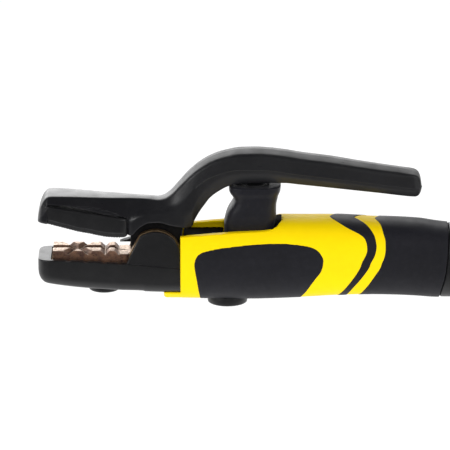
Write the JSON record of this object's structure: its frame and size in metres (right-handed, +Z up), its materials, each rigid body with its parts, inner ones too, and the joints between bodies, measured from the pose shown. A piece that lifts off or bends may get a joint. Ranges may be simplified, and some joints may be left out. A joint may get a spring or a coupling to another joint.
{
  "type": "welding electrode holder",
  "caption": "Hand-held arc welding electrode holder: sprung lever with a hooded upper jaw over a grooved copper lower jaw, on a yellow and black handle with a cable socket.",
  "frame": {"origin": "on the lever's pivot axis, in the middle plane", "axes": "+X back along the handle to the cable, -X to the jaws, +Z up towards the lever, Y across the tool"},
  "size_m": [0.2215, 0.036, 0.0789],
  "materials": {
    "black_plastic": "moulded, fine grain",
    "yellow_plastic": "semi-gloss",
    "soft_grip": "matt soft touch",
    "boot_rubber": "matt",
    "copper": "cast and tumbled copper",
    "brass": "sand cast",
    "steel": "zinc plated",
    "dark_metal": "blackened"
  },
  "bodies": {
    "root": {"body_bar": "brass", "lower_jaw_insert": "copper", "lower_jaw_screw": "steel", "lower_jaw_insulator": "black_plastic", "lower_screw_cap": "black_plastic", "pivot_pin": "steel", "pivot_clips": "steel", "pivot_washers": "steel", "spring_seat": "steel", "return_spring": "steel", "spring_boot": "boot_rubber", "inner_cover": "black_plastic", "handle_shell": "yellow_plastic", "saddle_grip": "soft_grip", "stripe_band": "soft_grip", "rear_grip_sleeve": "soft_grip", "rear_cap": "black_plastic", "cable_grommet": "boot_rubber", "handle_screw": "steel", "handle_screw_cap": "black_plastic"},
    "lever": {"lever_core": "dark_metal", "pivot_bush": "brass", "upper_jaw_insert": "copper", "upper_jaw_screw": "steel", "lever_moulding": "black_plastic", "upper_jaw_guard": "black_plastic", "spring_guide": "steel"},
    "clamp_front": {"cable_clamp_screw_front": "steel"},
    "clamp_rear": {"cable_clamp_screw_rear": "steel"}
  },
  "joints": [
    {"name": "lever_pivot", "type": "hinge", "parent": "root", "child": "lever", "pos_m": [0, 0, 0], "axis": [0, 1, 0], "range_deg": [-13.5, 5.5], "deforming": ["return_spring", "spring_boot"]},
    {"name": "clamp_screw_front_travel", "type": "slide", "parent": "root", "child": "clamp_front", "axis": [0, 0, 1], "range_m": [-0.006, 0]},
    {"name": "clamp_screw_rear_travel", "type": "slide", "parent": "root", "child": "clamp_rear", "axis": [0, 0, 1], "range_m": [-0.006, 0]}
  ]
}
